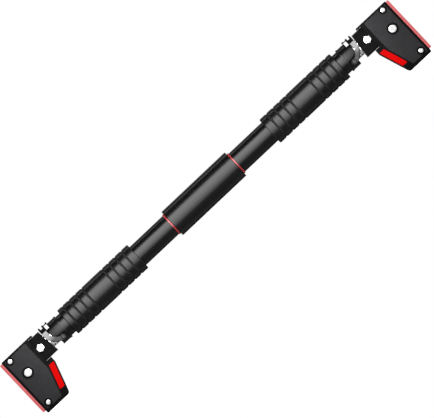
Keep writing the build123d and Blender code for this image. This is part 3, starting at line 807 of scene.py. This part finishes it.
def turned(tree, g, rows):
    """Pieces turned on an axis along Y and set at evenly spaced spots, from rows of (how far
    out, radius, whether six sided)."""
    grid, row, turn = grid_rows(tree, len(rows), g.facets)
    out, r, six = (chosen(row, column) for column in zip(*rows))
    sixth = math.pi / 3
    facet = (turn + sixth / 2) % sixth - sixth / 2
    r = r * (1.0 + six * (1.0 / calc("COSINE", facet) - 1.0))
    one = placed(tree, grid, r * calc("COSINE", turn), out * -1.0, r * calc("SINE", turn))
    spots = result(tree, "GeometryNodeMeshLine", {
        "Count": g.count, "Start Location": g.first, "Offset": g.step})
    spin = result(tree, "FunctionNodeEulerToRotation", {
        0: joined(tree, 0.0, 0.0, g.turned_back * math.pi)})
    return result(tree, "GeometryNodeInstanceOnPoints", {
        "Points": spots, "Instance": one, "Rotation": spin})


def rim_rows(r, height, size, steps=4):
    """Rows round the upper rim of a head."""
    return [(height - size * (1 - math.cos(a)), r - size * (1 - math.sin(a)), 0.0)
            for a in (math.pi / 2 * step / steps for step in range(steps + 1))]


def socket_screw(tree, g):
    """A round head with a six sided socket, and its shank."""
    top, r, end = g.head_height, g.head_radius, g.shank * -1.0
    floor, brink = top - g.socket_depth, top - g.brink
    return turned(tree, g, [
        (floor, 0.0, 0.0), (floor, g.socket, 1.0), (brink, g.socket, 1.0),
        (top, g.socket + g.brink, 1.0), *rim_rows(r, top, g.rounding), (0.0, r, 0.0),
        (0.0, g.shank_radius, 0.0), (end, g.shank_radius, 0.0), (end, 0.0, 0.0)])


def hex_head(tree, g):
    """A six sided head or nut with a chamfered face and a shallow dimple, and its shank."""
    top, flats, chamfer, end = g.head_height, g.half_flats, g.chamfer, g.shank * -1.0
    foot, pit = chamfer * 0.3, top - g.dimple_depth
    return turned(tree, g, [
        (pit, 0.0, 0.0), (pit, g.dimple * 0.8, 0.0), (top, g.dimple * 1.25, 0.0),
        (top, flats - chamfer, 0.0), (top - chamfer * 0.7, flats, 1.0), (foot, flats, 1.0),
        (0.0, flats - foot, 1.0), (0.0, g.shank_radius, 0.0), (end, g.shank_radius, 0.0),
        (end, 0.0, 0.0)])


def washer(tree, g):
    """A flat washer with a broken outer edge."""
    top, r, edge = g.thickness, g.radius, g.edge
    return turned(tree, g, [
        (0.0, g.hole, 0.0), (top, g.hole, 0.0), (top, r - edge, 0.0), (top - edge, r, 0.0),
        (0.0, r, 0.0), (0.0, g.hole, 0.0)])


def ribbed_pad(tree, g):
    """A rubber pad with cross grooves in the face that meets the wall."""
    corners = 12
    inside, rows = g.inside, g.rows
    grid, row, turn = grid_rows(tree, rows + 3, corners)
    run = g.top - g.bottom
    up = lesser(greater(row - 1, 0.0), rows) / rows * run
    pitch = run / (g.grooves + 1)
    nearest = lesser(greater(round(up / pitch), 1.0), g.grooves)
    end = lesser(up, run - up)
    wide = g.half_width - rounding(g.corner, end)
    face = g.face - rounding(g.edge, end)
    sunk = face - groove(g, abs(up - nearest * pitch))
    rest = wide - g.border
    lap = g.edge * 0.3
    half = [(inside, wide), (face - g.edge, wide), (face - lap, wide - lap),
            (face, wide - g.edge), (face, rest), (sunk, rest - g.shoulder * 2.0)]
    loop = [(x, y * -1.0) for x, y in half] + half[::-1] + [(inside, 0.0)]
    at = round(turn / (2 * math.pi / corners))
    x, y = (chosen(at, column) for column in zip(*loop))
    y = pick(greater(row < 0.5, row > rows + 1.5) > 0.5, 0.0, y)
    return placed(tree, grid, x * g.side, y, up + g.bottom)


# ---- Stage

WHITE = (1, 1, 1, 1)
# How much darker glossy surfaces mirror the floor behind the bar.
FLOOR_DARK = 0.9
# A panel close in front, which only glossy surfaces mirror, and which dims towards its foot.
PANEL_AWAY = 0.12
PANEL_LOW, PANEL_HIGH = 0.007, 0.214
PANEL_WIDTH = 0.64
PANEL_FADE = 0.41
# The pieces that the panel leaves out.
SPARED = "spared_by_the_panel"
# The view is level with the bar and square to it, and rolled so that the bar runs up to the right.
ROLL = math.radians(43.34)
LENS = 1000.0
SENSOR = 36.0
VIEW_WIDTH = 0.619
VIEW_SHIFT = (0.01879, -0.02174)


def by_ray(tree, seen, mirrored, rest):
    """One strength for what the camera sees, one for what is mirrored or seen through glass."""
    path = add(tree, "ShaderNodeLightPath").outputs
    bounced = greater(Value(path["Is Glossy Ray"]), Value(path["Is Transmission Ray"]))
    level = spread(bounced, 0.0, 1.0, rest, mirrored)
    return spread(Value(path["Is Camera Ray"]), 0.0, 1.0, level, seen)


def world():
    made = bpy.data.worlds.new("studio")
    bpy.context.scene.world = made
    tree = emptied(made)
    _, y, z = split(tree, add(tree, "ShaderNodeTexCoord").outputs["Generated"])
    wall = spread(z, 0.25, 0.6, spread(y, -0.3, 0.3, 1.0, 0.5), 0.05, "SMOOTHSTEP")
    add(tree, "ShaderNodeOutputWorld", {"Surface": result(tree, "ShaderNodeBackground", {
        "Color": WHITE, "Strength": by_ray(tree, 1.0, wall, colours().ambient)})})


def floor():
    bm = bmesh.new()
    bmesh.ops.create_grid(bm, x_segments=24, y_segments=24, size=6.0)
    made = from_bmesh("floor", bm)
    paint = bpy.data.materials.new("floor_paint")
    tree = emptied(paint)
    place = add(tree, "ShaderNodeTexCoord").outputs["Object"]
    cloud = result(tree, "ShaderNodeTexNoise", {"Vector": place, "Scale": 3.0, "Detail": 4.0}, "Fac")
    behind = spread(split(tree, place)[1], 0.0, 0.05)
    glossy = result(tree, "ShaderNodeLightPath", output="Is Glossy Ray")
    tone = spread(cloud, 0.0, 1.0, 0.98, 1.0) * (1.0 - behind * glossy * FLOOR_DARK)
    flat = result(tree, "ShaderNodeBsdfDiffuse", {
        "Color": joined(tree, *(tone * c for c in colours().floor))})
    glow = result(tree, "ShaderNodeEmission", {
        "Color": WHITE, "Strength": by_ray(tree, 0.85, 0.0, 0.0)})
    both = result(tree, "ShaderNodeAddShader", {0: flat, 1: glow})
    add(tree, "ShaderNodeOutputMaterial", {"Surface": both})
    made.data.materials.append(paint)
    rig.stage(made)


def spare(made):
    """Keeps the panel out of a piece that would mirror nothing else."""
    group = bpy.data.collections.get(SPARED)
    if group:
        group.objects.link(made)
        group.collection_objects[-1].light_linking.link_state = "EXCLUDE"


def dimmed_below(light, share):
    """Dims the lower share of a lamp towards its foot."""
    light.use_nodes = True
    tree = light.node_tree
    up = split(tree, add(tree, "ShaderNodeNewGeometry").outputs["Parametric"])[1]
    put(tree.nodes["Emission"].inputs["Strength"], spread(up, 0.0, share, 0.10, 1.0))


def around(elevation, distance):
    """A place in the plane across the bar. Elevation is from the front, past 90 to the back."""
    a = math.radians(elevation)
    return Vector((0.0, -distance * math.cos(a), AXIS_Z + distance * math.sin(a)))


def lamp(name, place, aim, size, radiance):
    """An area lamp that faces a point."""
    light = bpy.data.lights.new(name, "AREA")
    light.shape = "RECTANGLE"
    light.size, light.size_y = size
    light.energy = radiance * math.pi * size[0] * size[1]
    made = piece(name, light)
    made.location = place
    made.rotation_euler = (aim - made.location).to_track_quat("-Z", "Y").to_euler()
    made.visible_camera = False
    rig.stage(made)
    return made


def camera():
    data = bpy.data.cameras.new("camera")
    data.lens, data.sensor_width = LENS, SENSOR
    data.clip_start, data.clip_end = 0.1, 100.0
    made = piece("camera", data)
    right = Vector((math.cos(ROLL), 0.0, -math.sin(ROLL)))
    up = Vector((math.sin(ROLL), 0.0, math.cos(ROLL)))
    aim = CENTRE + VIEW_SHIFT[0] * right + VIEW_SHIFT[1] * up
    eye = aim - Vector((0.0, VIEW_WIDTH * LENS / SENSOR, 0.0))
    frame_axes = Matrix((right, up, right.cross(up))).transposed().to_4x4()
    made.matrix_world = Matrix.Translation(eye) @ frame_axes
    bpy.context.scene.camera = made


# ---- Operators

class Piece(bpy.types.Operator):
    """Shared by the operators that build pieces"""

    bl_options = {"REGISTER", "UNDO"}


class PULLUP_OT_stage(Piece):
    """Builds the floor, the lamps, the world and the camera"""

    bl_idname = "pullup.stage"
    bl_label = "Stage"

    def execute(self, context):
        floor()
        world()
        lamp("front_box", around(40, 1.8), CENTRE, (1.6, 1.3), 3.0)
        lamp("top_strip", around(109, 1.6), CENTRE, (1.6, 0.26), 3.2)
        lamp("back_box", around(150, 2.0), CENTRE, (1.6, 0.9), 0.4)
        level = (PANEL_LOW + PANEL_HIGH) / 2
        panel = lamp("gloss_panel", Vector((0.0, -PANEL_AWAY, level)), Vector((0.0, 0.0, level)),
                     (PANEL_WIDTH, PANEL_HIGH - PANEL_LOW), 11.0)
        panel.visible_diffuse = False
        panel.light_linking.receiver_collection = bpy.data.collections.new(SPARED)
        dimmed_below(panel.data, PANEL_FADE)
        camera()
        context.scene.view_settings.view_transform = "Standard"
        return {"FINISHED"}


class PULLUP_OT_tubes(Piece):
    """Builds the two steel tubes"""

    bl_idname = "pullup.tubes"
    bl_label = "Tubes"

    def execute(self, context):
        s = sizes()
        rivet, rivet_r = middle("coupler_rivets"), 2.55 * MM
        inset = high("coupler_rivets").x - 2.5 * MM
        for end, side in ENDS:
            r, out = radius(f"tube_{end}"), high("tube_right").x
            corners = [(0.0, r), (out, r), (out, s.tube_bore), (0.0, s.tube_bore)]
            made = lathe(f"steel_tube_{end}", corners, side, s.facets)
            grub, reach = middle(f"nut_screws_{end}"), r * 1.2
            drill(made, [(side * inset, rivet.z, rivet_r, -reach, reach),
                         (grub.x, grub.z, rivet_r, -reach, reach)])
            settle(made, f"tube_{end}", "bar", "tube_paint")
        return {"FINISHED"}


class PULLUP_OT_sleeve(Piece):
    """Builds the centre sleeve and its two trim rings"""

    bl_idname = "pullup.sleeve"
    bl_label = "Sleeve and trim rings"

    def execute(self, context):
        s = sizes()
        tube_r = radius("tube_right") + s.tube_fit

        def ring(name, near, far, r, rim, side):
            corners = [(near, r), (far, r), (far, tube_r), (near, tube_r)]
            return lathe(name, round_corners(corners, [rim, rim, 0, 0]), side, s.facets)

        half = high("centre_sleeve").x
        made = ring("moulded_sleeve", -half, half, radius("centre_sleeve"), s.rim_radius, 1)
        settle(made, "centre_sleeve", "bar", "sleeve_moulding")
        near, far = low("trim_ring_right").x, high("trim_ring_right").x
        for end, side in ENDS:
            node = f"trim_ring_{end}"
            made = ring(f"red_ring_{end}", near, far, radius(node), s.ring_radius, side)
            settle(made, node, "bar", "trim_plastic")
        return {"FINISHED"}


class PULLUP_OT_grips(Piece):
    """Builds the grooved foam grips"""

    bl_idname = "pullup.grips"
    bl_label = "Foam grips"

    def execute(self, context):
        s = sizes()
        start, stop = low("grip_right").x, high("grip_right").x
        for end, side in ENDS:
            made = grow(
                "grip", end, "foam_grip", "bar", grooved_grip, "grip_foam",
                start=start, length=stop - start, radius=radius(f"grip_{end}"),
                bore=radius("tube_right") + s.tube_fit, rim=s.grip_rim,
                groove_width=s.groove_width, groove_depth=s.groove_depth,
                shoulder=s.groove_shoulder, pitch=s.groove_pitch, grooves=s.groove_count,
                inner_inset=s.groove_inner, outer_inset=s.groove_outer, height=AXIS_Z,
                rows=560, facets=96, side=float(side), degrees=40)
            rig.padded(made, fill=1.0)
        return {"FINISHED"}


class PULLUP_OT_collars(Piece):
    """Builds the collars on the tubes' ends"""

    bl_idname = "pullup.collars"
    bl_label = "Collars"

    def execute(self, context):
        s = sizes()
        bore, plug = radius("screw_rod_right") + 0.2 * MM, s.tube_bore - s.tube_fit
        inner, out, seat = low("collar_right").x, high("collar_right").x, high("tube_right").x
        lip, small, floor_y = seat + s.collar_lip, s.collar_bevel * 0.5, bore + 0.4 * MM
        marks = [v.co for v in frame["nodes"]["collar_right"].data.vertices]
        tips = [v.z for v in marks if v.x > out - 0.1 * MM]
        face = max(v.x for v in marks if v.z > max(tips) + 1.0 * MM)
        for end, side in ENDS:
            lip_r = radius(f"collar_{end}")
            r, reach = lip_r - s.collar_step, lip_r * 1.2
            corners = [(seat, lip_r), (lip, lip_r), (lip, r), (out, r),
                       (out, bore), (inner, bore), (inner, plug), (seat, plug)]
            outline = round_corners(corners, [small, small, 0, 0, 0, 0, small, 0])
            made = lathe(f"end_collar_{end}", outline, side, s.facets)
            blocks = [((side * (face + out) / 2 + side * 1.0 * MM, 0.0, level + way * reach / 2),
                       (out - face + 2.0 * MM, 2 * reach, reach))
                      for level, way in ((max(tips), 1), (min(tips), -1))]
            least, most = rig.box(f"bail_pins_{end}")
            pin, pin_r = middle(f"bail_pins_{end}"), (most.z - least.z) / 2 + s.tube_fit
            drill(made, [(pin.x, pin.z, pin_r, -reach, -floor_y),
                         (pin.x, pin.z, pin_r, floor_y, reach)], blocks)
            bevel(made, s.collar_bevel * 0.7, 50)
            settle(smooth(bake(made), 40), f"collar_{end}", "bar", "collar_moulding")
        return {"FINISHED"}


class PULLUP_OT_screws(Piece):
    """Builds the threaded rods"""

    bl_idname = "pullup.screws"
    bl_label = "Threaded rods"

    def execute(self, context):
        s = sizes()
        start, stop = low("screw_rod_right").x, high("screw_rod_right").x
        for end, side in ENDS:
            r = radius(f"screw_rod_{end}")
            grow(
                "screw_rod", end, "threaded_rod", f"bracket_{end}", threaded_rod, "chrome_plate",
                start=start, length=stop - start, radius=r, depth=s.thread_depth,
                pitch=s.thread_pitch, crest=s.thread_crest, flank=s.thread_flank,
                flat=r - s.rod_flat, bore=s.rod_bore, plain_ends=2.0 * MM,
                height=AXIS_Z, rows=540, facets=72, side=float(side))
        return {"FINISHED"}


class PULLUP_OT_brackets(Piece):
    """Builds the neck blocks, the bracket housings, their face plates and the red inserts"""

    bl_idname = "pullup.brackets"
    bl_label = "Brackets"

    def execute(self, context):
        s = sizes()
        for end, _ in ENDS:
            body = f"bracket_{end}"
            spare(refined("neck", end, "neck_block", s.edge, body, "neck_moulding"))
            refined("bracket_housing", end, "wall_housing", s.edge, body, "housing_moulding")
            refined("front_plate", end, "face_plate_front", s.metal_edge, body, "plate_moulding")
            refined("back_plate", end, "face_plate_back", s.metal_edge, body, "plate_moulding")
            refined("red_insert", end, "slanted_insert", s.metal_edge, body, "insert_moulding")
        return {"FINISHED"}


class PULLUP_OT_pads(Piece):
    """Builds the ribbed rubber wall pads"""

    bl_idname = "pullup.pads"
    bl_label = "Wall pads"

    def execute(self, context):
        s = sizes()
        least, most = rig.box("wall_pad_right")
        for end, side in ENDS:
            grow(
                "wall_pad", end, "rubber_pad", f"bracket_{end}", ribbed_pad, "pad_rubber",
                inside=least.x, face=most.x, bottom=least.z, top=most.z,
                half_width=most.y, corner=s.pad_corner, edge=s.edge,
                grooves=s.pad_grooves, groove_width=s.pad_groove_width,
                groove_depth=s.pad_groove_depth, border=s.pad_border,
                shoulder=0.2 * MM, rows=320, side=float(side))
        return {"FINISHED"}


class PULLUP_OT_fasteners(Piece):
    """Builds the bolts, screws, nuts and washers of the brackets"""

    bl_idname = "pullup.fasteners"
    bl_label = "Fasteners"

    def execute(self, context):
        for end, _ in ENDS:
            seat = -low(f"screw_washers_{end}").y
            thick = seat + low(f"front_plate_{end}").y
            self.screws(end, seat)
            self.hexes(end, seat, thick)
            self.washers(end, seat, thick)
        return {"FINISHED"}

    def screws(self, end, seat):
        for node, name, count, rounding, depth, brink, shank_r, facets in (
                ("centre_bolt", "pivot_bolt", 1, 1.3, 1.0, 0.25, M6, 72),
                ("corner_screws", "cover_screws", 2, 1.0, 0.9, 0.2, M4, 60)):
            least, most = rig.box(f"{node}_{end}")
            head_r, spot = (most.x - least.x) / 2, (least + most) / 2
            first_z = spot.z if count == 1 else least.z + head_r
            step_z = 0.0 if count == 1 else most.z - least.z - 2 * head_r
            grow(
                node, end, name, f"bracket_{end}", socket_screw, "bright_zinc",
                head_radius=head_r, head_height=-least.y - seat, rounding=rounding * MM,
                socket=head_r * 0.4, socket_depth=depth * MM, brink=brink * MM,
                shank_radius=shank_r, shank=seat + most.y,
                first=(spot.x, -seat, first_z), step=(0.0, 0.0, step_z), count=count,
                turned_back=0.0, facets=facets)

    def hexes(self, end, seat, thick):
        for node, name, count, shank_r in (
                ("neck_bolt", "neck_bolt_head", 1, M6), ("neck_nut", "neck_lock_nut", 1, M6),
                ("centre_nut", "pivot_nut", 1, M6), ("corner_nuts", "cover_nuts", 2, M4)):
            least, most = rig.box(f"{node}_{end}")
            front = node == "neck_bolt"
            rest = thick - low(f"neck_{end}").y if node.startswith("neck") else seat
            wide, tall, spot = most.x - least.x, most.z - least.z, (least + most) / 2
            first_z, step_z = spot.z, 0.0
            if count == 2:
                marks = sorted(v.co.z for v in frame["nodes"][f"{node}_{end}"].data.vertices)
                gaps = [(b - a, a) for a, b in zip(marks, marks[1:])]
                half = (max(gaps)[1] - marks[0]) / 2
                first_z, step_z, tall = least.z + half, tall - 2 * half, wide
            grow(
                node, end, name, f"bracket_{end}", hex_head, "bright_zinc",
                half_flats=min(wide, tall) / 2, head_height=(-least.y if front else most.y) - rest,
                chamfer=0.8 * MM, dimple=(1.8 if front else 1.2) * MM,
                dimple_depth=(0.5 if front else 0.15) * MM, shank_radius=shank_r,
                shank=rest + most.y if front else 0.0,
                first=(spot.x, -rest if front else rest, first_z), step=(0.0, 0.0, step_z),
                count=count, turned_back=0.0 if front else 1.0, facets=48, degrees=25)

    def washers(self, end, seat, thick):
        for name, bolt, count, hole, wide, rest in (
                ("centre", "centre_bolt", 1, M6, 8.55, seat - thick),
                ("corner", "corner_screws", 2, M4, 6.05, seat - thick),
                ("neck", "neck_bolt", 1, M6, 6.0, -low(f"neck_{end}").y)):
            least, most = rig.box(f"{bolt}_{end}")
            head_r, spot = (most.x - least.x) / 2, (least + most) / 2
            first_z = spot.z if count == 1 else least.z + head_r
            step_z = 0.0 if count == 1 else most.z - least.z - 2 * head_r
            for back, place in enumerate(("front", "back")):
                grow(
                    "screw_washers", end, f"{name}_washers_{place}", f"bracket_{end}", washer,
                    "washer_coating", radius=wide * MM, hole=hole, thickness=thick, edge=0.15 * MM,
                    first=(spot.x, rest if back else -rest, first_z),
                    step=(0.0, 0.0, step_z), count=count, turned_back=float(back),
                    facets=60)


class PULLUP_OT_bails(Piece):
    """Builds the sprung bails and their thumb grips"""

    bl_idname = "pullup.bails"
    bl_label = "Bails"

    def execute(self, context):
        s = sizes()
        for end, _ in ENDS:
            body = f"bail_{end}"
            spare(refined("bail_strap", end, "bail_loop", s.strap_edge, body, "bail_steel"))
            spare(refined("bail_thumb", end, "thumb_grip", s.metal_edge, body, "thumb_moulding"))
            spare(refined("bail_pins", end, "bail_rivets", s.metal_edge, "bar", "rivet_steel"))
        return {"FINISHED"}


class PULLUP_OT_inside(Piece):
    """Finishes the pieces inside the bar, which keep their own shapes"""

    bl_idname = "pullup.inside"
    bl_label = "Inner pieces"

    def execute(self, context):
        for node in frame["nodes"].values():
            node.data.materials.clear()
            node.data.materials.append(material("plain_steel"))
        return {"FINISHED"}


BUILD_ORDER = (PULLUP_OT_stage, PULLUP_OT_tubes, PULLUP_OT_sleeve, PULLUP_OT_grips,
               PULLUP_OT_collars, PULLUP_OT_screws, PULLUP_OT_brackets, PULLUP_OT_pads,
               PULLUP_OT_fasteners, PULLUP_OT_bails, PULLUP_OT_inside)


class PULLUP_PT_panel(bpy.types.Panel):
    """Lists the steps and the sizes and colours they use"""

    bl_idname = "PULLUP_PT_panel"
    bl_label = "Pull Up Bar"
    bl_space_type = "VIEW_3D"
    bl_region_type = "UI"
    bl_category = "Pull Up Bar"

    def draw(self, context):
        column = self.layout.column(align=True)
        for step in BUILD_ORDER:
            column.operator(step.bl_idname)
        for title, group in (("Sizes", sizes()), ("Colours", colours())):
            box = self.layout.box()
            box.label(text=title)
            for name in group.bl_rna.properties.keys():
                if name not in ("rna_type", "name"):
                    box.prop(group, name)


CLASSES = (PullUpBarSizes, PullUpBarColours, *BUILD_ORDER, PULLUP_PT_panel)


def register():
    for cls in CLASSES:
        bpy.utils.register_class(cls)
    bpy.types.Scene.pull_up_bar_sizes = bpy.props.PointerProperty(type=PullUpBarSizes)
    bpy.types.Scene.pull_up_bar_colours = bpy.props.PointerProperty(type=PullUpBarColours)


def unregister():
    del bpy.types.Scene.pull_up_bar_colours
    del bpy.types.Scene.pull_up_bar_sizes
    for cls in reversed(CLASSES):
        bpy.utils.unregister_class(cls)


def main():
    register()
    for step in BUILD_ORDER:
        group, name = step.bl_idname.split(".")
        getattr(getattr(bpy.ops, group), name)()
    boxes = {"cad": [list(corner) for corner in CAD_BOX],
             "visual": [list(corner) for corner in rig.bounds()]}
    with open("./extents.json", "w") as out:
        json.dump(boxes, out)


if __name__ == "__main__":
    main()
